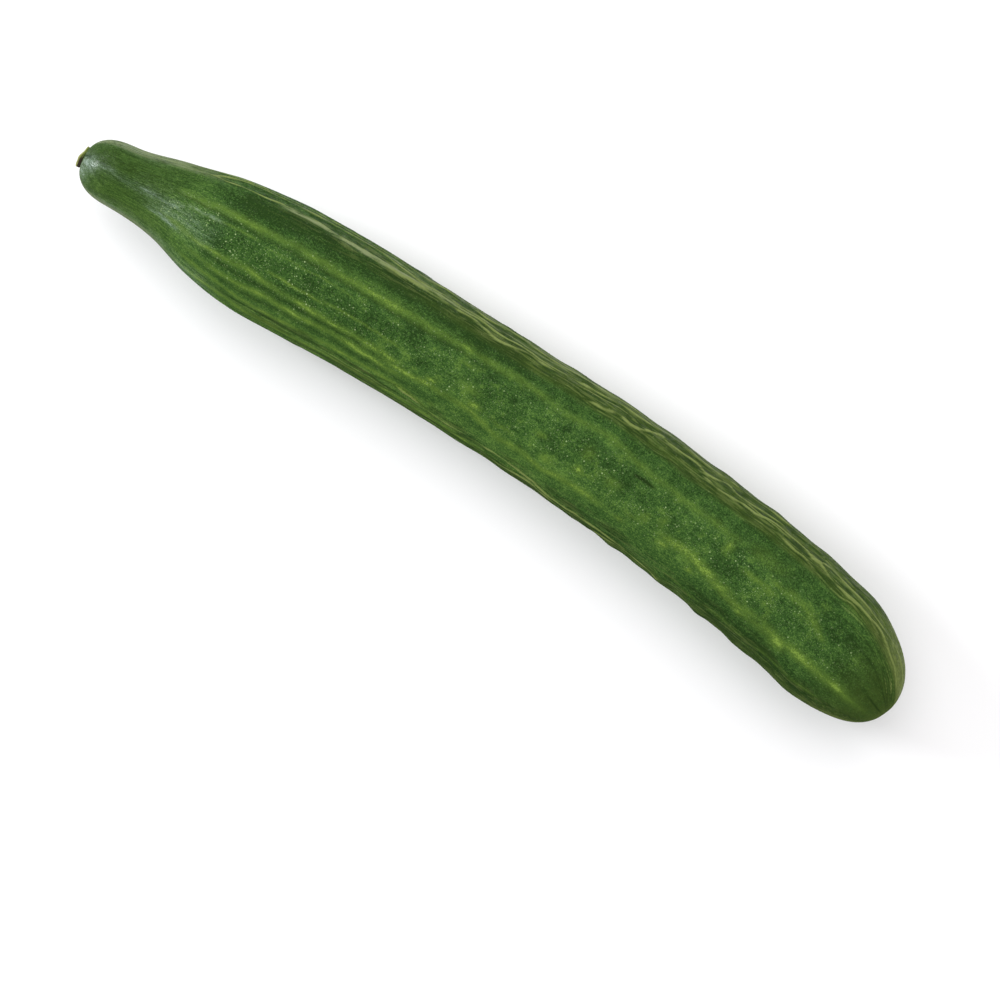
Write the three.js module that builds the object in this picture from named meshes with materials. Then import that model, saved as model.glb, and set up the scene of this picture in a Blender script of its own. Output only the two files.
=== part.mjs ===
// A whole greenhouse cucumber with the cut stub of its stalk, lying on its belly.
//
// Millimetres. +X runs along the fruit from its stalk to its blossom end, +Z is up, and the fruit
// bows sideways towards +Y. The origin is on the surface that the fruit lies on, under the middle
// of its bounding box.

import * as THREE from "three";

// Driving dimensions

// Cross-sections along the fruit: place along it, sideways bow, height of the centre, radius.
const SECTIONS = [
  [-167, -10.8, 20.6, 11.6],
  [-149, -8.5, 21.0, 11.8],
  [-133, -6.0, 21.4, 14.4],
  [-116, -4.9, 21.8, 19.05],
  [-99, -3.8, 22.1, 21.5],
  [-83, -2.0, 22.0, 22.0],
  [-54, 0.5, 21.5, 21.4],
  [-9, 2.7, 20.35, 20.85],
  [36, 3.8, 20.95, 21.5],
  [71, 2.95, 21.15, 21.3],
  [106, 0.75, 21.95, 21.95],
  [131, -2.1, 22.4, 21.7],
  [151, -6.5, 22.7, 21.75],
  [168.5, -12.6, 22.7, 21.8],
];

const STALK_CAP = 15; // length over which the neck rounds off
const STALK_CAP_POWER = 2.5; // above 2 the neck's end is blunter than an ellipse
const BLOSSOM_CAP = 35; // length over which the blossom end rounds off
const BLOSSOM_CAP_POWER = 2.15;

const RIB_HALF_WIDTH = 7; // degrees round the fruit
const RIB_SWAY = 1.6; // degrees that a rib wanders to either side
const RIB_SWAY_LENGTH = 120; // from one crest of that wander to the next
const RIB_FADE = 22; // length over which a rib rises from the skin and sinks back

// Ribs: degrees round the fruit from its top towards +Y, the same at the blossom end, where the
// rib starts and ends along the fruit, and its height.
const RIBS = [
  [18, 20, -150, 20, 0.4],
  [36, 33, -150, 155, 0.35],
  [52, 49, -155, 160, 0.5],
  [67, 66, -155, 160, 0.55],
  [83, 82, -155, 160, 0.5],
  [101, 100, -155, 160, 0.45],
  [118, 119, -155, 160, 0.45],
  [136, 137, -155, 160, 0.45],
  [154, 155, -155, 160, 0.4],
  [172, 173, -155, 160, 0.35],
  [-170, -168, -155, 160, 0.35],
  [-152, -150, -155, 160, 0.4],
  [-134, -133, -155, 160, 0.45],
  [-117, -116, -155, 160, 0.45],
  [-100, -98, -155, 160, 0.45],
  [-83, -82, -155, 160, 0.5],
  [-67, -70, -155, 160, 0.5],
  [-51, -57, -150, 155, 0.5],
  [-36, -43, -145, 60, 0.4],
  [-17, -42, -150, 40, 0.45],
  [-33, -25, 75, 158, 0.55],
  [2, 5, -140, 150, 0.25],
];

const LUMP_HEIGHT = 0.3; // the skin's slow swells, from the middle to the blossom end
const LUMP_LENGTH = 34;
const LUMP_START = -40;

const STALK_SEAT_DEPTH = 1.4; // hollow in the neck's end that the stalk grows from
const STALK_SEAT_FLOOR_RADIUS = 2.0;
const STALK_SEAT_RIM_RADIUS = 5.1;
const SCAR_RADIUS = 1.7; // knob where the blossom fell off, in a shallow dip
const SCAR_HEIGHT = 0.7;
const SCAR_DIP_RADIUS = 4.2;
const SCAR_DIP_DEPTH = 0.8;

// The stub's outline from its root to its cut face: distance out of the neck's end, and radius.
const STUB_OUTLINE = [
  [-1.0, 2.3],
  [-0.3, 2.4],
  [0.1, 2.9],
  [0.4, 3.7],
  [0.75, 4.1],
  [1.2, 4.1],
  [1.35, 3.6],
  [1.15, 2.4],
  [1.0, 1.1],
];
const STUB_ROOT_END = -1.0;
const STUB_CUT_MIDDLE = 1.05;
const STUB_RIBS = 5;
const STUB_RIB_HEIGHT = 0.09; // share of the radius
const STUB_OVAL = 0.06; // share by which the stub is wider one way than the other
const STUB_TILT = 3; // degrees away from the neck's own direction, towards +Y

// How finely the surfaces are split
const FACES_ROUND = 96;
const STALK_CAP_ROWS = 10;
const BODY_ROWS = 31;
const BLOSSOM_CAP_ROWS = 12;
const CAP_CROWDING = 1.4; // above 1 the rings of an end crowd together towards its very tip
const STUB_FACES_ROUND = 40;

const STALK_END = SECTIONS[0][0];
const BLOSSOM_END = SECTIONS[SECTIONS.length - 1][0];

// A column of SECTIONS at x, on a smooth curve through the values given.
function sectionValue(column, x) {
  const last = SECTIONS.length - 1;
  let i = 0;
  while (i < last - 1 && SECTIONS[i + 1][0] < x) i += 1;
  const slope = (k) => {
    const before = SECTIONS[Math.max(k - 1, 0)];
    const after = SECTIONS[Math.min(k + 1, last)];
    return (after[column] - before[column]) / (after[0] - before[0]);
  };
  const span = SECTIONS[i + 1][0] - SECTIONS[i][0];
  const t = (x - SECTIONS[i][0]) / span;
  const near = (1 + 2 * t) * (1 - t) ** 2 * SECTIONS[i][column];
  const far = t ** 2 * (3 - 2 * t) * SECTIONS[i + 1][column];
  const bend = t * (1 - t) ** 2 * slope(i) - t ** 2 * (1 - t) * slope(i + 1);
  return near + far + bend * span;
}

// 0 below low, 1 above high, with a smooth rise between them.
function rise(value, low, high) {
  const t = THREE.MathUtils.clamp((value - low) / (high - low), 0, 1);
  return t * t * (3 - 2 * t);
}

// Share of the full radius that is left at x, where the two ends round off.
function endRounding(x) {
  const round = (distance, length, power) => {
    const t = THREE.MathUtils.clamp(1 - distance / length, 0, 1);
    return (1 - t ** power) ** (1 / power);
  };
  return (
    round(x - STALK_END, STALK_CAP, STALK_CAP_POWER) *
    round(BLOSSOM_END - x, BLOSSOM_CAP, BLOSSOM_CAP_POWER)
  );
}

// Height of the ribs and swells above the plain skin at x and angle, in degrees from the top.
function relief(x, angle) {
  let height = 0;
  RIBS.forEach(([stalkAngle, blossomAngle, start, end, ribHeight], i) => {
    const along = (x - STALK_END) / (BLOSSOM_END - STALK_END);
    const sway = RIB_SWAY * Math.sin((2 * Math.PI * x) / RIB_SWAY_LENGTH + i * i);
    const crest = THREE.MathUtils.lerp(stalkAngle, blossomAngle, along) + sway;
    const aside = THREE.MathUtils.euclideanModulo(angle - crest + 180, 360) - 180;
    const shown = rise(x, start, start + RIB_FADE) * (1 - rise(x, end - RIB_FADE, end));
    height += ribHeight * shown * Math.exp(-((aside / RIB_HALF_WIDTH) ** 2));
  });
  const turn = THREE.MathUtils.degToRad(angle);
  const wave = (2 * Math.PI * x) / LUMP_LENGTH;
  const swell = Math.sin(wave + 2 * Math.cos(turn)) * Math.cos(0.63 * wave + 3 * Math.sin(turn));
  const swellShown = rise(x, LUMP_START, LUMP_START + LUMP_LENGTH) * endRounding(x) ** 2;
  return height + LUMP_HEIGHT * swell * swellShown;
}

// Centre of the section at x, and the fruit's direction there.
function centreAt(x) {
  return new THREE.Vector3(x, sectionValue(1, x), sectionValue(2, x));
}

function directionAt(x) {
  const step = 0.5;
  const from = Math.max(x - step, STALK_END);
  const to = Math.min(x + step, BLOSSOM_END);
  return centreAt(to).sub(centreAt(from)).normalize();
}

// How far the skin at x and radius is pushed along the fruit, by the hollow at the stalk and by
// the blossom's scar.
function endShape(x, radius) {
  if (x < 0)
    return STALK_SEAT_DEPTH * (1 - rise(radius, STALK_SEAT_FLOOR_RADIUS, STALK_SEAT_RIM_RADIUS));
  const dip = SCAR_DIP_DEPTH * (1 - rise(radius, 0, SCAR_DIP_RADIUS));
  return SCAR_HEIGHT * (1 - rise(radius, 0, SCAR_RADIUS)) - dip;
}

// Point of the skin at x and angle. Where the weight rests, the skin is pressed flat at z = 0.
function skinPoint(x, angle) {
  const turn = THREE.MathUtils.degToRad(angle);
  const direction = directionAt(x);
  const sideways = new THREE.Vector3(-direction.y, direction.x, 0).normalize();
  const upwards = new THREE.Vector3().crossVectors(direction, sideways);
  const radius = (sectionValue(3, x) + relief(x, angle)) * endRounding(x);
  const point = centreAt(x)
    .addScaledVector(sideways, radius * Math.sin(turn))
    .addScaledVector(upwards, radius * Math.cos(turn))
    .addScaledVector(direction, endShape(x, radius));
  point.z = Math.max(point.z, 0);
  return point;
}

// Distances from an end of the fruit at which the rings of its cap go.
function capDistances(length, power, rows) {
  return Array.from({ length: rows }, (_, i) => {
    const turn = (Math.PI / 2) * ((i + 1) / rows) ** CAP_CROWDING;
    return length * (1 - Math.cos(turn) ** (2 / power));
  });
}

// Places along the fruit where a ring of points goes.
function ringPlaces() {
  const stalkCap = capDistances(STALK_CAP, STALK_CAP_POWER, STALK_CAP_ROWS);
  const blossomCap = capDistances(BLOSSOM_CAP, BLOSSOM_CAP_POWER, BLOSSOM_CAP_ROWS).reverse();
  const bodyStart = STALK_END + STALK_CAP;
  const bodyLength = BLOSSOM_END - BLOSSOM_CAP - bodyStart;
  const body = Array.from({ length: BODY_ROWS }, (_, i) => (i + 1) / (BODY_ROWS + 1));
  return [
    ...stalkCap.map((distance) => STALK_END + distance),
    ...body.map((share) => bodyStart + share * bodyLength),
    ...blossomCap.map((distance) => BLOSSOM_END - distance),
  ];
}

// One closed surface through rings of points that run from first to last, with a single point at
// each end. Each ring turns from +Z towards +Y, seen with the last point behind the first.
function closedSurface(first, rings, last) {
  const count = rings[0].length;
  const corner = (row, i) => 1 + row * count + (i % count);
  const lastCorner = 1 + rings.length * count;
  const corners = [];
  for (let i = 0; i < count; i += 1) {
    corners.push(0, corner(0, i), corner(0, i + 1));
    for (let row = 0; row < rings.length - 1; row += 1) {
      corners.push(corner(row, i), corner(row + 1, i), corner(row + 1, i + 1));
      corners.push(corner(row, i), corner(row + 1, i + 1), corner(row, i + 1));
    }
    corners.push(lastCorner, corner(rings.length - 1, i + 1), corner(rings.length - 1, i));
  }
  const geometry = new THREE.BufferGeometry().setFromPoints([first, ...rings.flat(), last]);
  geometry.setIndex(corners);
  geometry.computeVertexNormals();
  return geometry;
}

// Angles of a ring's points, in degrees from the top towards +Y.
function ringAngles(count) {
  return Array.from({ length: count }, (_, i) => (360 * i) / count);
}

function makeFruit() {
  const rings = ringPlaces().map((x) => ringAngles(FACES_ROUND).map((angle) => skinPoint(x, angle)));
  const geometry = closedSurface(skinPoint(STALK_END, 0), rings, skinPoint(BLOSSOM_END, 0));
  const skin = new THREE.MeshStandardMaterial({ color: 0x466a2e, roughness: 0.45, metalness: 0 });
  const fruit = new THREE.Mesh(geometry, skin);
  fruit.name = "fruit";
  return fruit;
}

// The stub is made upright round its own axis, root at the bottom, and then laid along the neck.
function makeStalkStub() {
  const rings = STUB_OUTLINE.map(([out, radius]) =>
    ringAngles(STUB_FACES_ROUND).map((angle) => {
      const turn = THREE.MathUtils.degToRad(angle);
      const ribbed = 1 + STUB_RIB_HEIGHT * Math.cos(STUB_RIBS * turn) + STUB_OVAL * Math.cos(2 * turn);
      return new THREE.Vector3(out, radius * ribbed * Math.sin(turn), radius * ribbed * Math.cos(turn));
    }),
  );
  const root = new THREE.Vector3(STUB_ROOT_END, 0, 0);
  const cut = new THREE.Vector3(STUB_CUT_MIDDLE, 0, 0);
  const bark = new THREE.MeshStandardMaterial({ color: 0x6d6f3a, roughness: 0.8, metalness: 0 });
  const stub = new THREE.Mesh(closedSurface(root, rings, cut), bark);
  stub.name = "stalk_stub";

  const direction = directionAt(STALK_END);
  const outwards = Math.atan2(-direction.y, -direction.x) - THREE.MathUtils.degToRad(STUB_TILT);
  stub.rotation.z = outwards;
  stub.position.copy(centreAt(STALK_END));
  return stub;
}

const cucumber = new THREE.Group();
cucumber.add(makeFruit(), makeStalkStub());

export default cucumber;
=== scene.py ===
"""A whole greenhouse cucumber with the cut stub of its stalk, seen from straight above.

Lengths along and across the fruit are millimetres until a mesh is made, which is in metres.
A place on the skin is its distance along the fruit and its angle round it, in degrees from the
top towards +Y, the side that the fruit bows to.
"""

import logging
import math
from dataclasses import dataclass, field
from enum import Enum
from typing import Union

import bpy
import numpy as np
from mathutils import Matrix, Vector


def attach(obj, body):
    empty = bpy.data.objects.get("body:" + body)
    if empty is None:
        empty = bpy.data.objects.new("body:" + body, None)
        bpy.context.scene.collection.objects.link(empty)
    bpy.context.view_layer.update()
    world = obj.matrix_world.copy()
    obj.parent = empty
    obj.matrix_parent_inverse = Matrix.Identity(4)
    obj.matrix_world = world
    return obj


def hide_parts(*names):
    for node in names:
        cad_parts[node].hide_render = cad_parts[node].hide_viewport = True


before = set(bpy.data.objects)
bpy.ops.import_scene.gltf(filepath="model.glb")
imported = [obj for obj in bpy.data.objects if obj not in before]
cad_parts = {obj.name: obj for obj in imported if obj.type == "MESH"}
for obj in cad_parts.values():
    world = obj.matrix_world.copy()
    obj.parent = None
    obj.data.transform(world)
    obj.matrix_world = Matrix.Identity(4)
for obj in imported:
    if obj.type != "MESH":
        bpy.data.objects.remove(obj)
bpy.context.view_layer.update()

logging.basicConfig(level=logging.INFO, format="%(message)s")
log = logging.getLogger("cucumber")

MM = 0.001
MID_GIRTH_RADIUS = 21.0  # the skin's patterns are laid out on a straight fruit of this radius

Array = np.ndarray
Colour = tuple[float, float, float]
WHITE: Colour = (1.0, 1.0, 1.0)
Stretch = tuple[float, float]  # where one thing gives way to the next: start and end
Band = tuple[float, float, float, float]  # middle angle, reach below and above it, softness


def srgb(red: int, green: int, blue: int) -> Colour:
    """Turns a colour as a screen shows it, 0 to 255, into the linear one that shaders take."""
    shares = (channel / 255 for channel in (red, green, blue))
    return tuple(c / 12.92 if c <= 0.04045 else ((c + 0.055) / 1.055) ** 2.4 for c in shares)


def rise(value: Array, low: float, high: float) -> Array:
    """Gives 0 below low and 1 above high, with a smooth rise between them."""
    t = np.clip((value - low) / (high - low), 0, 1)
    return t * t * (3 - 2 * t)


def between(value: Array, low: float, high: float, soft: float) -> Array:
    """Gives 1 from low to high, and falls to 0 over a distance of soft outside them."""
    return rise(value, low - soft, low) * (1 - rise(value, high, high + soft))


def turn_between(angle: Array, other: Array) -> Array:
    """Gives the turn from other to angle in degrees, from -180 to 180."""
    return np.mod(angle - other + 180, 360) - 180


def smooth_curve(places: Array, values: Array, x: Array) -> Array:
    """Reads a smooth curve through some points.

    Args:
        places: places of the points along the fruit, in order.
        values: the curve's value at each of them.
        x: places to read it at.

    Returns:
        The value at each place of x, held at its last value beyond the ends.
    """
    x = np.clip(x, places[0], places[-1])
    after = np.append(np.arange(1, len(places)), len(places) - 1)
    before = np.insert(np.arange(len(places) - 1), 0, 0)
    slope = (values[after] - values[before]) / (places[after] - places[before])
    i = np.clip(np.searchsorted(places, x, side="left") - 1, 0, len(places) - 2)
    span = places[i + 1] - places[i]
    t = (x - places[i]) / span
    near = (1 + 2 * t) * (1 - t) ** 2 * values[i]
    far = t**2 * (3 - 2 * t) * values[i + 1]
    bend = t * (1 - t) ** 2 * slope[i] - t**2 * (1 - t) * slope[i + 1]
    return near + far + bend * span


# Shape of the fruit


@dataclass(frozen=True)
class Skin:
    """Places on the skin: how far along the fruit each one is, and its angle round it."""

    x: Array
    angle: Array

    def along(self, low: float, high: float, soft: float) -> Array:
        """Gives 1 from low to high along the fruit, and falls to 0 outside them."""
        return between(self.x, low, high, soft)

    def band(self, middle: float, below: float, above: float, soft: float) -> Array:
        """Gives 1 from below to above a middle angle, and falls to 0 outside them."""
        return between(turn_between(self.angle, middle), -below, above, soft)

    def hill(self, middle: Array, half_width: float) -> Array:
        """Gives 1 at a middle angle, and falls off smoothly on both sides of it."""
        return np.exp(-((turn_between(self.angle, middle) / half_width) ** 2))

    def turned(self, turn: Array) -> "Skin":
        """Gives the same places turned round the fruit."""
        return Skin(self.x, self.angle + turn)


class Column(Enum):
    """What a section of the fruit gives, by its place in the row."""

    PLACE = 0
    BOW = 1
    HEIGHT = 2
    RADIUS = 3


@dataclass(frozen=True)
class Spine:
    """The fruit's plain form: sections along it, and how its two ends round off."""

    # Place along the fruit, sideways bow, height of the centre, radius.
    sections: tuple[tuple[float, float, float, float], ...] = (
        (-167, -10.8, 20.6, 11.6),
        (-149, -8.5, 21.0, 11.8),
        (-133, -6.0, 21.4, 14.4),
        (-116, -4.9, 21.8, 19.05),
        (-99, -3.8, 22.1, 21.5),
        (-83, -2.0, 22.0, 22.0),
        (-54, 0.5, 21.5, 21.4),
        (-9, 2.7, 20.35, 20.85),
        (36, 3.8, 20.95, 21.5),
        (71, 2.95, 21.15, 21.3),
        (106, 0.75, 21.95, 21.95),
        (131, -2.1, 22.4, 21.7),
        (151, -6.5, 22.7, 21.75),
        (168.5, -12.6, 22.7, 21.8),
    )
    stalk_cap: float = 15
    stalk_cap_power: float = 2.5
    blossom_cap: float = 35
    blossom_cap_power: float = 2.15
    seat_depth: float = 1.4
    seat_floor_radius: float = 2.0
    seat_rim_radius: float = 5.1
    scar_radius: float = 1.7
    scar_height: float = 0.7
    scar_dip_radius: float = 4.2
    scar_dip_depth: float = 0.8
    direction_step: float = 0.5

    @property
    def stalk_end(self) -> float:
        """Place of the neck's tip."""
        return self.sections[0][0]

    @property
    def blossom_end(self) -> float:
        """Place of the blossom end's tip."""
        return self.sections[-1][0]

    def value(self, column: Column, x: Array) -> Array:
        """Reads one column of the sections at places along the fruit."""
        rows = np.array(self.sections)
        return smooth_curve(rows[:, Column.PLACE.value], rows[:, column.value], x)

    def centre(self, x: Array) -> Array:
        """Gives the centre of the section at each place."""
        return np.stack([x, self.value(Column.BOW, x), self.value(Column.HEIGHT, x)], axis=-1)

    def direction(self, x: Array) -> Array:
        """Gives the fruit's direction.

        Args:
            x: places along it.

        Returns:
            A unit vector for each place.
        """
        before = np.maximum(x - self.direction_step, self.stalk_end)
        after = np.minimum(x + self.direction_step, self.blossom_end)
        along = self.centre(after) - self.centre(before)
        return along / np.linalg.norm(along, axis=-1, keepdims=True)

    def end_rounding(self, x: Array) -> Array:
        """Gives how much of the full radius the rounded ends leave.

        Args:
            x: places along the fruit.

        Returns:
            The share, from 0 at the tips to 1.
        """

        def rounded(distance: Array, length: float, power: float) -> Array:
            """Gives the share left at a distance from one end."""
            t = np.clip(1 - distance / length, 0, 1)
            return (1 - t**power) ** (1 / power)

        stalk = rounded(x - self.stalk_end, self.stalk_cap, self.stalk_cap_power)
        blossom = rounded(self.blossom_end - x, self.blossom_cap, self.blossom_cap_power)
        return stalk * blossom

    def end_shape(self, x: Array, radius: Array) -> Array:
        """Gives how far the stalk's seat and the scar push the skin along the fruit.

        Args:
            x: places along the fruit.
            radius: distances from its centre line.

        Returns:
            The push, in millimetres.
        """
        seat = self.seat_depth * (1 - rise(radius, self.seat_floor_radius, self.seat_rim_radius))
        dip = self.scar_dip_depth * (1 - rise(radius, 0, self.scar_dip_radius))
        scar = self.scar_height * (1 - rise(radius, 0, self.scar_radius)) - dip
        return np.where(x < 0, seat, scar)

    def point(self, skin: Skin, relief: Array) -> Array:
        """Gives the points of the skin.

        Args:
            skin: places on it.
            relief: height above the plain skin.

        Returns:
            Points in the part's frame, in millimetres, pressed flat at the surface below.
        """
        x, turn = skin.x, np.radians(skin.angle)[..., None]
        direction = self.direction(x)
        level = np.stack([-direction[..., 1], direction[..., 0], np.zeros_like(x)], axis=-1)
        sideways = level / np.linalg.norm(level, axis=-1, keepdims=True)
        upwards = np.cross(direction, sideways)
        radius = (self.value(Column.RADIUS, x) + relief) * self.end_rounding(x)
        outwards = sideways * np.sin(turn) + upwards * np.cos(turn)
        pushed = direction * self.end_shape(x, radius)[..., None]
        points = self.centre(x) + outwards * radius[..., None] + pushed
        points[..., 2] = np.maximum(points[..., 2], 0)
        return points


@dataclass(frozen=True)
class SkinNoise:
    """Soft seeded noise on the skin, which closes on itself round the fruit."""

    seed: int
    cell_along: float
    cells_round: int
    reach: float = 200

    def at(self, skin: Skin) -> Array:
        """Reads the noise.

        Args:
            skin: the places to read it at.

        Returns:
            Values mostly from -1 to 1.
        """
        rows = int(2 * self.reach / self.cell_along) + 3
        draws = np.random.default_rng(self.seed).uniform(-1, 1, (rows, self.cells_round))
        along = (skin.x + self.reach) / self.cell_along
        around = np.mod(skin.angle / 360, 1) * self.cells_round
        row, cell = np.floor(along).astype(int), np.floor(around).astype(int)
        u, v = along - row, around - cell
        u, v = u * u * (3 - 2 * u), v * v * (3 - 2 * v)
        row = np.clip(row, 0, rows - 2)
        left, right = cell % self.cells_round, (cell + 1) % self.cells_round
        near = draws[row, left] * (1 - v) + draws[row, right] * v
        far = draws[row + 1, left] * (1 - v) + draws[row + 1, right] * v
        return near * (1 - u) + far * u


@dataclass(frozen=True)
class Rib:
    """A low ridge along the fruit, at one angle by the stalk and another by the blossom end."""

    stalk_angle: float
    blossom_angle: float
    height: float
    start: float = -155
    end: float = 160


@dataclass(frozen=True)
class Streak:
    """A mark along the skin, by its angle at some places along the fruit."""

    half_width: float
    strength: float
    soft: float
    angles: dict[float, float]

    def mask(self, skin: Skin) -> Array:
        """Gives how strongly the mark shows.

        Args:
            skin: places on it.

        Returns:
            The strength at each place.
        """
        places, angles = np.array(list(self.angles.items()), dtype=float).T
        across = skin.hill(smooth_curve(places, angles, skin.x), self.half_width)
        shown = skin.along(places[0] + self.soft, places[-1] - self.soft, 2 * self.soft)
        return self.strength * across * shown


@dataclass(frozen=True)
class Patch:
    """A soft oval mark on the skin."""

    place: float
    angle: float
    half_length: float
    half_width: float
    strength: float

    def mask(self, skin: Skin) -> Array:
        """Gives how strongly the mark shows at each place."""
        along = (skin.x - self.place) / self.half_length
        return self.strength * np.exp(-(along**2)) * skin.hill(self.angle, self.half_width)


def shown_marks(marks: tuple[Streak | Patch, ...], skin: Skin, broken: float = 1) -> Array:
    """Gives how strongly the strongest of some marks shows at each place.

    Args:
        marks: the marks, which wander a little from their own lines.
        skin: places on it.
        broken: how much their strength comes and goes.

    Returns:
        The strength, mostly from 0 to 1.
    """
    aside = skin.turned(SkinNoise(41, 6, 24).at(skin) + 0.6 * SkinNoise(42, 2.6, 60).at(skin))
    uneven = 0.22 * SkinNoise(43, 9, 40).at(skin) + 0.2 * SkinNoise(44, 2.8, 90).at(skin)
    shown = np.max([mark.mask(aside) for mark in marks], axis=0)
    return shown * np.maximum(1 + broken * uneven, 0)


# The marks of the skin. A streak has a half-width in degrees, a strength, the softness of its ends in
# millimetres, and its angle at some places along the fruit.

PALE_STRIPES = (
    # The main stripe, its glow, and the broken one that goes on from it.
    Streak(4.0, 0.64, 3, {-130: 16, -120: 16, -112: 17.5, -76: 17.5, -68: 15.5, -17: 18}),
    Streak(4.5, 0.14, 8, {-86: 21, -14: 23}),
    Streak(4.0, 0.42, 6, {-17: 19.5, -4: 19.5, 4: 20.5, 22: 17, 30: 20, 38: 21, 56: 15, 92: 15}),
    # Thin ones on the top.
    Streak(1.5, 0.5, 3, {-125: 4, -116: 4, -110: 6, -99: 7.2}),
    Streak(1.0, 0.4, 4, {-94: 5, -62: 4}),
    Streak(1.5, 0.75, 3, {-90: -12.5, -70: -16}),
    Streak(1.4, 0.5, 4, {-70: -14, -58: -13, -40: -14}),
    # The lower face, from the top down.
    Streak(3.0, 0.68, 4, {-130: -23, -110: -24, -99: -20, -84: -25, -38: -27.5}),
    Streak(2.8, 0.7, 5, {-118: -38, -103: -38, -88: -36, -80: -38, -62: -36, -44: -38.5,
        -34: -37.5}),
    Streak(3.3, 0.68, 6, {-44: -32, -22: -31, -14: -29, -7: -31, 0: -36, 8: -38, 14: -37, 22: -40,
        30: -38, 46: -36}),
    Streak(2.4, 0.74, 5, {-120: -50, -106: -49.5, -84: -53, -74: -51, -33: -50.5, -25: -54,
        -15: -62}),
    Streak(2.8, 0.8, 6, {-125: -69, -100: -64, -92: -67, -84: -65, -70: -66.5, -60: -65, -40: -65.5,
        0: -71}),
    # The bright broken band of the blossom half, and what lies beside it.
    Streak(5.0, 0.75, 5, {70: -24, 86: -24, 100: -31, 112: -35}),
    Streak(3.6, 0.5, 3, {105: -29, 123: -30}),
    Streak(5.4, 0.72, 8, {112: -34, 124: -34, 130: -31, 148: -28, 160: -28}),
    Streak(2.6, 0.5, 2, {99: -3, 113: -3}),
    Streak(3.0, 0.42, 2, {109: 6.5, 121: 5}),
    Streak(3.4, 0.6, 2, {115: 9, 124: 6, 133: -3}),
    Streak(2.8, 0.3, 4, {80: -57, 94: -60, 104: -58, 112: -59.5, 120: -57, 130: -56, 138: -57,
        150: -54}),
    Patch(-17, 6, 2.5, 2, 0.75),
    Patch(-12, -12, 4, 5, 0.5),
    Patch(-8, -24, 3, 3.5, 0.9),
    Patch(-25, -25, 1.8, 2.2, 1.1),
    Patch(-21, -48, 1.5, 3, 0.7),
    Patch(4, -26, 4, 2, 0.6),
    Patch(17, -12, 2, 3, 0.6),
    Patch(23, -29, 2.5, 4, 0.7),
    Patch(34, -3, 2, 6, 0.75),
    Patch(34, -21, 1.5, 4, 0.75),
    Patch(46, -12, 3, 4, 0.5),
    Patch(55, -38, 2, 2.5, 0.6),
    Patch(62, -20, 1.5, 5, 0.9),
    Patch(68, -15, 1.2, 7, 0.6),
    Patch(58, -28, 3, 3, 0.5),
    Patch(72, -32, 2.5, 3, 0.75),
    Patch(107, -37, 2.2, 3.5, 1.2),
    Patch(134, -4, 1.5, 3, 0.7),
    Patch(124, -36, 3.2, 6.5, 1.6),
    Patch(85, -36, 1.4, 3, 0.9),
    Patch(98, -27, 4, 3, 0.8),
    Patch(91, 6, 1.5, 8, 0.6),
    Patch(104, 18, 7, 7, 0.36),
    # The side that no stripe of the face reaches.
    *(Streak(2.3, 0.5, 10, {-130: a, -60: a - 2, 0: a + 1, 70: a - 1, 150: a})
      for a in (100, 136, 172, -152, -118, -90)),
)

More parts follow.
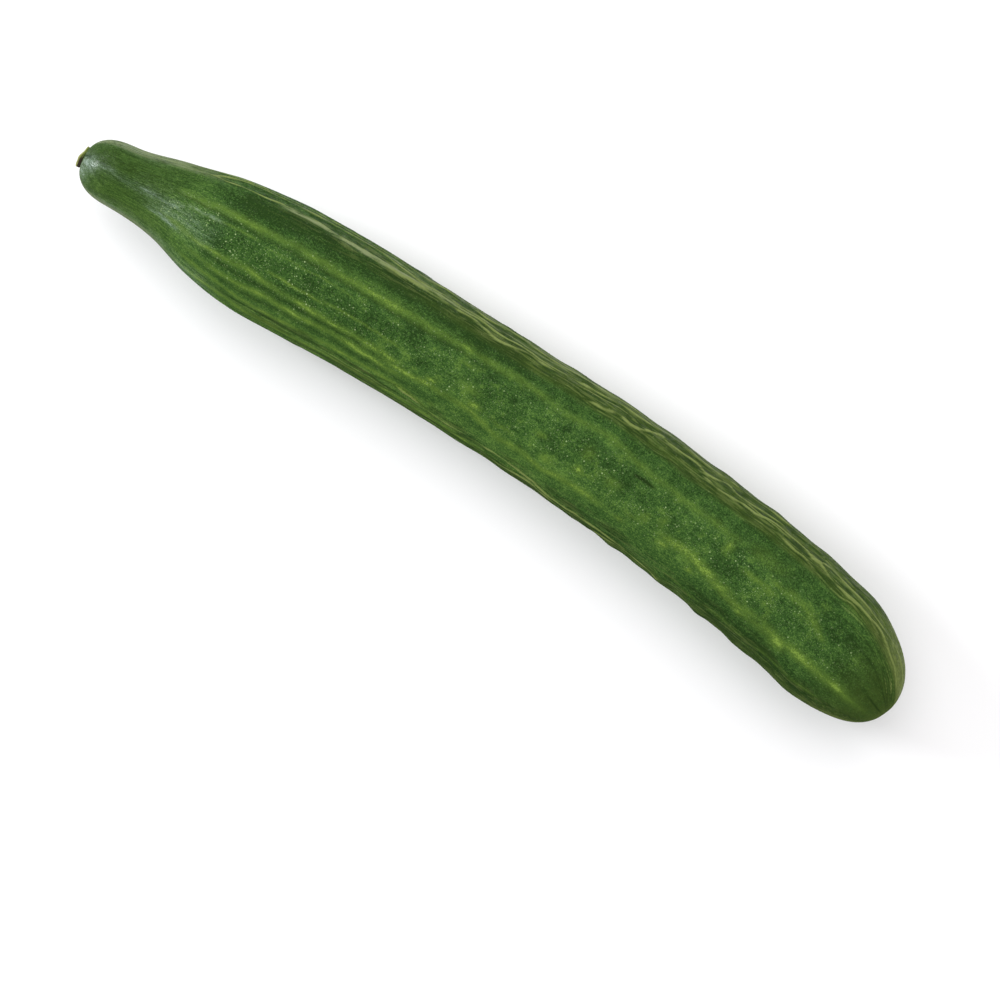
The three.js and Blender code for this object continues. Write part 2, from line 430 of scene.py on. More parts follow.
DRY_CRESTS = (
    # The two long crests of the upper side, from the neck to the middle.
    Streak(1.8, 0.9, 3, {-125: 58, -118: 52, -112: 53.5, -105: 52.5, -90: 55, -76: 50, -70: 51,
        -60: 51, -52: 49.5, -36: 54, -30: 52.5, -19: 57}),
    Streak(1.8, 0.8, 3, {-126: 57, -118: 64, -110: 66, -84: 62.5, -75: 63, -68: 65, -60: 63.5,
        -54: 60, -42: 56, -36: 58.5, -30: 57, -18: 60.5}),
    Streak(2.0, 0.7, 6, {-130: 72, -80: 69.5, -60: 72, -40: 70, -20: 66, -10: 69, 10: 66, 30: 69,
        50: 70, 66: 66, 84: 68, 108: 69}),
    # The braid of the upper side, from the middle to the blossom end.
    Streak(1.8, 0.8, 3, {-50: 49.5, -38: 50, -30: 48.5, -24: 50.5, -12: 46, 0: 51, 10: 49}),
    Streak(1.8, 0.9, 3, {-24: 56, -10: 54, -4: 56, 10: 53, 24: 58, 50: 64}),
    Streak(1.5, 0.7, 3, {16: 48, 33: 55.5, 42: 53}),
    Streak(2.2, 0.75, 3, {24: 40, 36: 46, 42: 46, 50: 57.5, 54: 53.5, 66: 56.5, 70: 52, 74: 55,
        78: 60.5, 83: 56, 94: 59}),
    Streak(1.4, 0.4, 3, {2: 43, 12: 40, 18: 42.5, 24: 38, 44: 38.5}),
    Streak(1.2, 0.4, 3, {40: 39, 50: 36.5, 58: 37, 66: 35.5, 78: 37.5}),
    Streak(1.8, 0.9, 3, {70: 47, 80: 46, 86: 49, 92: 49.5, 97: 54, 110: 54, 116: 48, 120: 55,
        134: 54.5, 141: 52, 148: 54, 154: 58, 161: 56, 167: 48}),
    Streak(1.6, 0.6, 3, {72: 46, 92: 43, 100: 45, 118: 40}),
    Streak(1.8, 0.9, 3, {114: 52, 124: 45.5, 140: 44, 146: 46.5, 150: 44, 158: 40, 166: 32}),
    Streak(1.5, 0.5, 3, {118: 39, 128: 36, 134: 40, 142: 37, 154: 34, 164: 24}),
    Streak(2.4, 0.5, 3, {140: 70, 158: 74, 166: 72}),
    Streak(1.4, 0.6, 3, {80: 57, 96: 51, 106: 51}),
    Streak(1.6, 0.6, 3, {94: 59, 110: 66, 116: 66, 120: 60, 124: 63, 134: 58}),
    Streak(1.4, 0.45, 4, {128: 30, 140: 33, 160: 26, 168: 14}),
    Streak(1.3, 0.4, 4, {136: 24, 148: 25, 158: 21, 168: 8}),
    Streak(1.3, 0.35, 4, {140: 16, 152: 15, 162: 11, 169: 2}),
    # Fine folds along the lower side.
    Streak(1.1, 0.5, 5, {-116: -61, -96: -60, -76: -61, -34: -60}),
    Streak(1.1, 0.5, 5, {-100: -77, -76: -75, -50: -77, -24: -76, 0: -80}),
    Streak(1.4, 0.8, 3, {-34: -51, -14: -60, -6: -59, 6: -60}),
    Streak(1.5, 0.85, 3, {-4: -60, 8: -57, 16: -61, 32: -66, 50: -65, 64: -69}),
    Streak(1.6, 0.8, 3, {4: -73, 20: -68, 42: -73}),
    Streak(1.6, 0.75, 3, {50: -75, 66: -72, 80: -76}),
)

# Dark lines in the grooves that the relief cuts: the skin's own dark lines, with painted shade in the
# grooves.
SHADED_FURROWS = (
    Streak(1.8, 0.6, 6, {-130: 12, -60: 11, -14: 12}),
    Streak(3.0, 0.4, 6, {-112: 46, -96: 46, -80: 44, -40: 45, -14: 42}),
    Streak(1.6, 1.3, 1, {50.5: 6, 58.5: 6.5}),
    Streak(4.0, 1.2, 1, {-169: 5, -163: 5}),
    # Between the stripes and folds of the lower side.
    Streak(2.4, 0.5, 6, {-112: -30, -96: -29, -80: -31, -60: -31, -44: -33}),
    Streak(2.2, 0.5, 6, {-112: -44, -90: -43, -30: -44}),
    Streak(1.5, 0.6, 6, {-118: -57, -76: -58, -50: -57, -20: -63, 10: -64}),
    Streak(1.3, 0.6, 6, {-110: -72, -84: -71, -30: -73, 6: -77}),
    Streak(2.0, 0.55, 4, {88: -50, 104: -52, 132: -53}),
    Streak(1.6, 1.0, 1.5, {159: -8, 170: -10}),
)

# Painted glare and sheen: pale bluish marks where the lamps' light shines off the neck's wax.
GLARE_AND_SHEEN_MARKS = (
    # The neck's end and the shoulder: painted glare and sheen where the light falls on the wax.
    Patch(-163, -9, 2.8, 15, 1.3),
    Patch(-164.5, -34, 2.4, 22, 0.8),
    Patch(-157.5, 0, 4, 5, 0.6),
    Streak(7.0, 0.25, 8, {-154: -5, -124: -8}),
    Streak(2.8, 0.65, 4, {-143: -6, -127: -7}),
    Streak(2.8, 0.65, 3, {-138: -27, -125: -29}),
    Streak(1.4, 0.6, 3, {-124: 4, -112: 5}),
    Streak(12, 0.22, 8, {-138: -18, -114: -15}),
    # Painted sheen along the neck's two rims.
    Streak(15, 0.22, 6, {-167: 64, -136: 62}),
    Streak(13, 0.3, 8, {-162: -74, -106: -72}),
)

# Pale grey lines: the crests' dry bloom with painted sheen on it, and painted sheen along the upper rim.
GREY_BLOOM_AND_SHEEN = (
    # The long crest, pale with dry bloom and painted sheen, then painted sheen along the rim of the upper
    # side.
    Streak(1.8, 1.5, 5, {-96: 52, -84: 51, -76: 49.5, -36: 53.5, -26: 53}),
    Streak(3.5, 0.8, 8, {-46: 72, -20: 74, 20: 73, 44: 75, 72: 73}),
    Streak(1.4, 0.7, 6, {-96: 66, -80: 64, -60: 66, -44: 61}),
    Streak(1.6, 0.5, 6, {-50: 58, 14: 64}),
    Streak(1.5, 0.6, 6, {16: 66, 52: 69, 72: 66}),
)

SHADED_BANDS = (
    # Above the main stripe, on the neck's top, between the long crests and under the lower side.
    Streak(13, 0.9, 16, {-114: 37, 8: 38}),
    Streak(14, 0.35, 8, {-168: 20, -132: 22}),
    Streak(4, 0.4, 6, {-112: 60, -76: 58}),
    Streak(14, 0.3, 6, {-116: -14, -74: -14}),
    Streak(12, 0.9, 8, {0: -78, 58: -76}),
    Patch(108, -12, 12, 12, 0.3),
    Patch(-42, -12, 16, 12, 0.25),
    Streak(11, 0.28, 10, {34: 30, 120: 30}),
    # The far end, below the bright band and beside its tip.
    Streak(24, 1.0, 20, {92: -70, 172: -70}),
    Streak(9, 0.5, 8, {124: 20, 142: 13, 172: 8}),
    Streak(7, 0.4, 8, {138: -10, 152: -13, 172: -14}),
)

SUNNY_BANDS = (
    # The lower side, the neck's lower half and the upper side of the blossom end.
    Streak(22, 0.5, 15, {-160: -62, 30: -62}),
    Streak(15, 0.3, 8, {-30: -35, 96: -33}),
    Streak(16, 0.4, 8, {-164: -38, -114: -38}),
    Streak(14, 0.9, 6, {124: 48, 176: 44}),
    Patch(86, -18, 9, 10, 0.4),
)


@dataclass(frozen=True)
class Relief:
    """Heights above the plain skin: ribs, slow swells, wrinkles and soft lumps."""

    rib_half_width: float = 7
    rib_sway: float = 1.6
    rib_sway_length: float = 120
    rib_fade: float = 22
    ribs: tuple[Rib, ...] = (
        Rib(18, 20, 0.4, -150, 20),
        Rib(36, 33, 0.35, -150, 155),
        Rib(52, 49, 0.5),
        Rib(67, 66, 0.55),
        Rib(83, 82, 0.5),
        Rib(101, 100, 0.45),
        Rib(118, 119, 0.45),
        Rib(136, 137, 0.45),
        Rib(154, 155, 0.4),
        Rib(172, 173, 0.35),
        Rib(-170, -168, 0.35),
        Rib(-152, -150, 0.4),
        Rib(-134, -133, 0.45),
        Rib(-117, -116, 0.45),
        Rib(-100, -98, 0.45),
        Rib(-83, -82, 0.5),
        Rib(-67, -70, 0.5),
        Rib(-51, -57, 0.5, -150, 155),
        Rib(-36, -43, 0.4, -145, 60),
        Rib(-17, -42, 0.45, -150, 40),
        Rib(-33, -25, 0.55, 75, 158),
        Rib(2, 5, 0.25, -140, 150),
    )
    lump_height: float = 0.3
    lump_length: float = 34
    lump_start: float = -40
    wrinkle_height: float = 0.2
    crest_height: float = 0.45
    crest_breaks: float = 2.0
    furrow_depth: float = 0.25
    dimple_height: float = 0.28
    knob_height: float = 0.45
    face_middle: float = -8
    face_half_width: float = 34
    # Turns from the top, on each side.
    upper_flank: Stretch = (28, 46)
    lower_flank: Stretch = (42, 60)
    underside: Stretch = (150, 175)
    upper_knobs: Band = (88, 14, 16, 12)
    lower_knobs: Band = (-92, 22, 22, 16)

    def coarse(self, spine: Spine, skin: Skin) -> Array:
        """Gives the ribs and slow swells, which the solid fruit has too.

        Args:
            spine: the fruit's plain form.
            skin: places on it.

        Returns:
            Heights above the plain skin.
        """
        x = skin.x
        along = (x - spine.stalk_end) / (spine.blossom_end - spine.stalk_end)
        height = np.zeros_like(x)
        for i, rib in enumerate(self.ribs):
            sway = self.rib_sway * np.sin(2 * math.pi * x / self.rib_sway_length + i * i)
            crest = rib.stalk_angle + (rib.blossom_angle - rib.stalk_angle) * along + sway
            shown = skin.along(rib.start + self.rib_fade, rib.end - self.rib_fade, self.rib_fade)
            height += rib.height * shown * skin.hill(crest, self.rib_half_width)
        turn = np.radians(skin.angle)
        wave = 2 * math.pi * x / self.lump_length
        swell = np.sin(wave + 2 * np.cos(turn)) * np.cos(0.63 * wave + 3 * np.sin(turn))
        shown = rise(x, self.lump_start, self.lump_start + self.lump_length)
        return height + self.lump_height * swell * shown * spine.end_rounding(x) ** 2

    def flank(self, skin: Skin) -> Array:
        """Gives how wrinkled the skin is: most at the sides, least on the smooth upper face.

        Args:
            skin: places on it.

        Returns:
            Shares, mostly from 0 to 1.
        """
        off_top = turn_between(skin.angle, 0)
        upper = rise(off_top, *self.upper_flank) * (1 - rise(off_top, *self.underside))
        lower = rise(-off_top, *self.lower_flank) * (1 - rise(-off_top, *self.underside))
        return (upper + 0.8 * lower) * skin.along(-60, 150, 60)

    def face(self, skin: Skin) -> Array:
        """Gives how lumpy the skin's broad upper face is: from the middle to the blossom end."""
        across = turn_between(skin.angle, self.face_middle) / self.face_half_width
        return np.exp(-(across**4)) * skin.along(-45, 128, 40)

    def wrinkles(self, skin: Skin) -> Array:
        """Gives braided folds that run along the fruit.

        Args:
            skin: places on it.

        Returns:
            Heights, mostly from -1 to 1.
        """
        bent = skin.turned(7 * SkinNoise(11, 15, 16).at(skin))
        wide = SkinNoise(12, 17, 46).at(bent)
        narrow = SkinNoise(13, 9, 92).at(bent)
        return 0.75 * (1 - 2.4 * np.abs(wide)) + 0.35 * narrow

    def dimples(self, skin: Skin) -> Array:
        """Gives soft lumps and hollows of a few millimetres, mostly from -1 to 1."""
        bent = Skin(skin.x + 2.5 * SkinNoise(21, 9, 18).at(skin), skin.angle)
        return 0.7 * SkinNoise(22, 6.5, 24).at(bent) + 0.5 * SkinNoise(23, 3.4, 44).at(skin)

    def knobs(self, skin: Skin) -> Array:
        """Gives the low knobs of the two sides, from the middle to the blossom end.

        Args:
            skin: places on it.

        Returns:
            Heights, mostly from -1 to 1.
        """
        lower = skin.band(*self.lower_knobs) * skin.along(40, 126, 20)
        upper = skin.band(*self.upper_knobs) * skin.along(-40, 130, 30)
        return SkinNoise(24, 5.5, 20).at(skin) * (lower + 0.6 * upper)

    def fine(self, spine: Spine, skin: Skin) -> Array:
        """Gives the crests, wrinkles and lumps that are too small for the solid fruit.

        Args:
            spine: the fruit's plain form.
            skin: places on it.

        Returns:
            Heights above the coarse skin, in millimetres.
        """
        wrinkles = self.wrinkle_height * self.wrinkles(skin) * self.flank(skin)
        dimples = self.dimple_height * self.dimples(skin) * self.face(skin)
        crests = self.crest_height * shown_marks(DRY_CRESTS, skin, self.crest_breaks)
        furrows = self.furrow_depth * shown_marks(SHADED_FURROWS, skin)
        knobs = self.knob_height * self.knobs(skin)
        height = crests - furrows + wrinkles + dimples + knobs - self.wrinkle_height
        return height * rise(spine.end_rounding(skin.x), 0.2, 0.8)


# Shader writing

Socket = bpy.types.NodeSocket
Input = Union["Value", Socket, float, tuple]


class Value:
    """A number in a shader, on which arithmetic adds Math nodes."""

    def __init__(self, tree: "ShaderTree", socket: Socket) -> None:
        """Wraps a socket of the tree."""
        self.tree = tree
        self.socket = socket

    def _math(self, operation: str, *numbers: Input) -> "Value":
        """Adds a Math node that reads the numbers in order."""
        node = self.tree.node("ShaderNodeMath", {"operation": operation}, dict(enumerate(numbers)))
        return Value(self.tree, node.outputs[0])

    def __add__(self, other: Input) -> "Value":
        """Adds a number."""
        return self._math("ADD", self, other)

    def __sub__(self, other: Input) -> "Value":
        """Takes a number away."""
        return self._math("SUBTRACT", self, other)

    def __rsub__(self, other: Input) -> "Value":
        """Takes this away from a number."""
        return self._math("SUBTRACT", other, self)

    def __mul__(self, other: Input) -> "Value":
        """Multiplies by a number."""
        return self._math("MULTIPLY", self, other)

    __radd__ = __add__
    __rmul__ = __mul__

    def least(self, other: Input) -> "Value":
        """Gives the smaller of this and a number."""
        return self._math("MINIMUM", self, other)

    def most(self, other: Input) -> "Value":
        """Gives the larger of this and a number."""
        return self._math("MAXIMUM", self, other)

    def spread(self, low: float, high: float, to_low: float = 0, to_high: float = 1) -> "Value":
        """Maps one range smoothly onto another, and clamps outside it.

        Args:
            low: the value that becomes to_low.
            high: the value that becomes to_high.
            to_low: what it gives at low.
            to_high: what it gives at high.

        Returns:
            The mapped value.
        """
        inputs = dict(enumerate((self, low, high, to_low, to_high)))
        node = self.tree.node("ShaderNodeMapRange", {"interpolation_type": "SMOOTHSTEP"}, inputs)
        return Value(self.tree, node.outputs[0])


class ShaderTree:
    """Writes the nodes of one material or of the world."""

    def __init__(self, owner: bpy.types.ID) -> None:
        """Clears the owner's nodes.

        Args:
            owner: a material or world.
        """
        owner.use_nodes = True
        self.tree = owner.node_tree
        self.tree.nodes.clear()

    def node(
        self,
        kind: str,
        settings: dict[str, object] | None = None,
        inputs: dict[str | int, Input] | None = None,
    ) -> bpy.types.Node:
        """Adds a node.

        Args:
            kind: its type.
            settings: its properties, set first.
            inputs: values or links of its sockets, by name or number.

        Returns:
            The node.
        """
        node = self.tree.nodes.new(kind)
        for name, setting in (settings or {}).items():
            setattr(node, name, setting)
        for name, given in (inputs or {}).items():
            self._give(node.inputs[name], given)
        return node

    def _give(self, socket: Socket, given: Input) -> None:
        """Links a socket or sets its value.

        Args:
            socket: the socket.
            given: what to link or set.
        """
        if isinstance(given, Value):
            given = given.socket
        if isinstance(given, Socket):
            self.tree.links.new(given, socket)
        elif socket.type == "RGBA":
            socket.default_value = (*given, 1)
        else:
            socket.default_value = given

    def attribute(self, name: str) -> bpy.types.Node:
        """Reads a named attribute of the mesh."""
        return self.node("ShaderNodeAttribute", {"attribute_name": name})

    def number(self, name: str) -> Value:
        """Reads a named attribute of the mesh as a number."""
        return Value(self, self.attribute(name).outputs["Fac"])

    def stretched(self, vector: Input, scale: Colour) -> Socket:
        """Multiplies a vector by another, part by part."""
        settings = {"operation": "MULTIPLY"}
        return self.node("ShaderNodeVectorMath", settings, {0: vector, 1: scale}).outputs[0]

    def noise(self, vector: Input, scale: float, detail: float = 2, roughness: float = 0.5) -> Value:
        """Adds noise from 0 to 1, with a given number of features to a millimetre."""
        inputs = {"Vector": vector, "Scale": scale, "Detail": detail, "Roughness": roughness}
        return Value(self, self.node("ShaderNodeTexNoise", {}, inputs).outputs["Fac"])

    def mixed(self, share: Input, first: Input, second: Input) -> Socket:
        """Lays a share of the second colour over the first one."""
        inputs = {0: share, 6: first, 7: second}
        return self.node("ShaderNodeMix", {"data_type": "RGBA"}, inputs).outputs[2]

    def bump(self, height: Input, strength: float) -> Socket:
        """Turns a height in millimetres into a bent normal."""
        inputs = {"Height": height, "Distance": MM, "Strength": strength}
        return self.node("ShaderNodeBump", {}, inputs).outputs[0]

    def surface(self, inputs: dict[str, Input]) -> None:
        """Ends a material in one plain shader with the given inputs."""
        shader = self.node("ShaderNodeBsdfPrincipled", {}, inputs)
        self.node("ShaderNodeOutputMaterial", {}, {"Surface": shader.outputs[0]})


# Finishes


@dataclass(frozen=True)
class SkinFinish:
    """The waxy green skin, with its stripes, mottling, pale specks and dry crests, and with painted
    glare, sheen, glints and shade.
    """

    dark: Colour = srgb(36, 59, 24)
    middle: Colour = srgb(53, 83, 37)
    light: Colour = srgb(93, 125, 56)
    stripe: Colour = srgb(88, 115, 46)
    blaze: Colour = srgb(124, 151, 64)
    # Dark green of painted shade: in the furrows, beside the crests and between the fibre lines.
    furrow_shade: Colour = srgb(34, 53, 22)
    olive: Colour = srgb(65, 83, 34)
    crest: Colour = srgb(120, 133, 74)
    # Pale grey of the crests' dry bloom, and of the painted sheen on the crests and along the rims.
    bloom_and_sheen: Colour = srgb(122, 133, 92)
    # Painted glare and sheen on the neck's wax.
    glare_and_sheen: Colour = srgb(146, 164, 150)
    # Pale specks of the skin, bright enough to stand for painted glints where they lie thickest.
    freckle_glint: Colour = srgb(176, 197, 138)
    roughness: float = 0.34
    specular: float = 0.0
    coat_roughness: float = 0.26
    # Scale, size, rarity and strength of each size of speck and painted glint.
    freckle_sizes: tuple[tuple[float, float, float, float], ...] = (
        (0.7, 0.25, 0.55, 1.0),
        (1.0, 0.22, 0.5, 0.7),
        (1.8, 0.32, 0.3, 0.6),
    )

    def material(self) -> bpy.types.Material:
        """Writes the material.

        Returns:
            A material that reads the attributes that Fruit gives its mesh.
        """
        material = bpy.data.materials.new("cucumber_skin")
        tree = ShaderTree(material)
        place = tree.attribute("skin_place").outputs["Vector"]
        crest, lumps, flank = tree.number("crest"), tree.number("lumps"), tree.number("flank")
        face, neck, blossom = tree.number("face"), tree.number("neck"), tree.number("blossom")
        furrow_shade, olive_side = tree.number("furrow_shade"), tree.number("olive")

        drawn_out = tree.stretched(place, (0.25, 1.0, 1.0))
        threads = tree.stretched(place, (0.09, 1.0, 1.0))
        broad = tree.noise(place, 0.06, 3)
        mottle = tree.noise(place, 0.22, 5, 0.6)
        streaks = tree.noise(drawn_out, 0.6, 4, 0.62)
        fibres = tree.noise(threads, 1.3, 4, 0.6)
        grain = tree.noise(place, 1.4, 3, 0.65)
        pebbles = tree.noise(place, 2.6, 2, 0.5)
        scratches = tree.noise(drawn_out, 2.0, 3, 0.6)
        specks = (grain * 0.5 + pebbles * 0.5).spread(0.42, 0.6)

        shade = 0.5 + (broad - 0.5) * 0.6 + (mottle - 0.5) * (0.6 + face * 0.6) + face * 0.05
        # lumps lightens the soft lumps and darkens their hollows: painted light and shade.
        shade = shade + (streaks - 0.5) * 0.8 + (grain - 0.5) * 0.9 + (pebbles - 0.5) * 1.3 + lumps * 0.22
        shade = shade + (specks - 0.4) * 0.12 + (scratches - 0.5) * (0.6 + neck * 0.9)
        shade = shade + (fibres - 0.5) * neck * 1.0 - tree.number("shaded") * 0.6
        dots = (grain * 0.6 + pebbles * 0.4).spread(0.53, 0.63)
        olive = (olive_side * 0.9 + blossom * 0.8).least(1.0)
        patches = face * mottle.spread(0.52, 0.68) * (0.35 + specks * 0.65)
        speckled = 0.3 + streaks * 0.5 + mottle * 0.5 + specks * (0.25 + face * 0.35)
        broken = tree.number("stripe") * speckled

        # Between the pale fibre lines, the hollows of the fine wrinkles are darkened as painted shade.
        lines, fibre_gap_shade = fibres.spread(0.5, 0.6), fibres.spread(0.5, 0.4)
        # A thin band along each side of a crest, darkened as painted shade.
        beside = crest.spread(0.04, 0.16) * crest.spread(0.42, 0.2)
        straw = flank * lines * 0.3 + blossom * olive_side * 0.55
        folds = crest.spread(0.3, 0.95) * (0.3 + fibres * 0.7 + grain * 0.6) + straw
        # Dry bloom and painted sheen, broken along the fibres.
        bloom_and_sheen_share = tree.number("bloom_and_sheen") * fibres.spread(0.36, 0.56, 0.1, 0.95)
        clumps = streaks.spread(0.4, 0.6, 0.4, 1.1)
        dashes = (scratches * 0.5 + pebbles * 0.5).spread(0.4, 0.6, 0.2, 1.0)
        # Painted glare and sheen, broken into clumps and dashes.
        glare_and_sheen_share = tree.number("glare_and_sheen") * clumps * dashes
        # Thickest on the top behind the neck, where the specks also stand for painted glints.
        clustered = tree.number("freckle_and_glint_spread") * mottle.spread(0.38, 0.56, 0.6, 1.2)
        freckles_and_glints = self.freckles_and_glints(tree, place) * clustered

        layers = (
            (shade.spread(0.05, 0.56), self.middle),
            (shade.spread(0.46, 1.3), self.light),
            (dots * 0.28, self.light),
            (olive * streaks.spread(0.25, 0.6, 0.5, 1.0), self.olive),
            # Painted shade in the furrows.
            ((furrow_shade * (0.3 + grain * 1.2)).least(0.95), self.furrow_shade),
            (patches * 0.6, self.stripe),
            ((broken * 1.15).least(1.0), self.stripe),
            (broken.spread(0.62, 1.2), self.blaze),
            # Painted shade between the fibre lines, then beside the crests.
            (fibre_gap_shade * olive_side * 0.5, self.furrow_shade),
            (beside * 0.5, self.furrow_shade),
            (folds.least(0.95), self.crest),
            # Bloom with painted sheen, painted glare and sheen on the neck, then specks that also stand
            # for painted glints.
            (bloom_and_sheen_share, self.bloom_and_sheen),
            (glare_and_sheen_share.least(0.9), self.glare_and_sheen),
            (freckles_and_glints.least(0.85), self.freckle_glint),
        )
        green: Input = self.dark
        for share, colour in layers:
            green = tree.mixed(share, green, colour)

        height = grain * 0.3 + pebbles * 0.32 + fibres * (flank + neck) * 0.26 + streaks * 0.12
        height = height + freckles_and_glints * 0.12
        roughness = (self.roughness + (grain - 0.5) * 0.2 + flank * 0.2).most(0.18)
        gloss = tree.number("gloss") * scratches.spread(0.45, 0.6, 0.1, 1.0) * (1.0 - furrow_shade * 0.8)
        inputs = {
            "Base Color": green,
            "Roughness": roughness,
            "Normal": tree.bump(height, 1.0),
            "Specular IOR Level": self.specular,
            "Coat Weight": gloss,
            "Coat Roughness": self.coat_roughness,
        }
        tree.surface(inputs)
        return material

    def freckles_and_glints(self, tree: ShaderTree, place: Input) -> Value:
        """Writes pale dots of three sizes, the larger ones rarer and brighter: specks of the skin and
        painted glints.

        Args:
            tree: the material's nodes.
            place: the place on the skin.

        Returns:
            How strongly a freckle shows.
        """
        shown = []
        for scale, size, rarity, strength in self.freckle_sizes:
            inputs = {"Vector": place, "Scale": scale, "Randomness": 1.0}
            cells = tree.node("ShaderNodeTexVoronoi", {}, inputs)
            colour = tree.node("ShaderNodeSeparateColor", {}, {0: cells.outputs["Color"]})
            picked = Value(tree, colour.outputs[0]).spread(rarity, 1.0, 0.0, strength)
            shown.append(Value(tree, cells.outputs["Distance"]).spread(size, size * 0.4) * picked)
        return shown[0].most(shown[1]).most(shown[2])


@dataclass(frozen=True)
class StalkFinish:
    """The stub's ribbed olive bark, with painted shade on its side towards −Y, and its browned cut face.
    """

    bark: Colour = srgb(98, 112, 46)
    shaded: Colour = srgb(44, 36, 18)
    rim: Colour = srgb(150, 153, 90)
    cut: Colour = srgb(120, 108, 66)
    roughness: float = 0.75
    specular: float = 0.3
    bump_strength: float = 0.8

    def material(self) -> bpy.types.Material:
        """Writes the material.

        Returns:
            A material that reads the attributes that StalkStub gives its mesh.
        """
        material = bpy.data.materials.new("stalk_bark")
        tree = ShaderTree(material)
        place = tree.attribute("stub_place").outputs["Vector"]
        rim, cut, shaded_side = tree.number("rim"), tree.number("cut"), tree.number("shaded_side")
        grain = tree.noise(place, 1.4, 4, 0.65)
        fibres = tree.noise(tree.stretched(place, (0.4, 3.0, 3.0)), 1.2, 3, 0.6)
        # Painted shade in dark brown on the stub's side towards −Y.
        colour = tree.mixed((shaded_side + (grain - 0.5) * 0.8).spread(0.35, 0.65), self.bark, self.shaded)
        colour = tree.mixed(cut * fibres.spread(0.3, 0.7, 0.5, 1.0), colour, self.cut)
        colour = tree.mixed((rim * (0.4 + grain)).least(0.9), colour, self.rim)
        inputs = {
            "Base Color": colour,
            "Roughness": (self.roughness + (grain - 0.5) * 0.3).least(1.0),
            "Normal": tree.bump(grain * 0.2 + fibres * 0.25, self.bump_strength),
            "Specular IOR Level": self.specular,
        }
        tree.surface(inputs)
        return material


# Pieces


def closed_mesh(name: str, first: Array, rings: Array, last: Array) -> bpy.types.Object:
    """Makes one closed smooth mesh through rings of points, with one point at each end.

    Args:
        name: the piece's name.
        first: the point before the first ring, in millimetres.
        rings: points of the rings, by ring and by angle from the top towards +Y.
        last: the point after the last ring.

    Returns:
        The object, in metres.
    """
    rows, count = rings.shape[:2]
    points = np.concatenate([first[None], rings.reshape(-1, 3), last[None]]) * MM
    i = np.arange(count)
    after = (i + 1) % count
    row = 1 + count * np.arange(rows - 1)[:, None]
    sides = np.stack([row + i, row + count + i, row + count + after, row + after], axis=-1)
    end = len(points) - 1
    start_fan = [(0, 1 + a, 1 + b) for a, b in zip(i, after)]
    end_fan = [(end, end - count + b, end - count + a) for a, b in zip(i, after)]
    faces = [*start_fan, *sides.reshape(-1, 4).tolist(), *end_fan]
    mesh = bpy.data.meshes.new(name)
    mesh.from_pydata(points.tolist(), [], faces)
    mesh.shade_smooth()
    mesh.validate()
    piece = bpy.data.objects.new(name, mesh)
    bpy.context.scene.collection.objects.link(piece)
    return piece


def add_layer(piece: bpy.types.Object, name: str, *given: Array | float) -> None:
    """Gives each point of a closed mesh a number, or a place, that its material reads.

    Args:
        piece: the piece from closed_mesh.
        name: the attribute's name.
        given: what the first point, the rings' points and the last point get.
    """
    numbers = np.concatenate([np.ravel(part) for part in given])
    is_place = len(numbers) > len(piece.data.vertices)
    kind, value = ("FLOAT_VECTOR", "vector") if is_place else ("FLOAT", "value")
    layer = piece.data.attributes.new(name, kind, "POINT")
    layer.data.foreach_set(value, numbers.astype(np.float32))


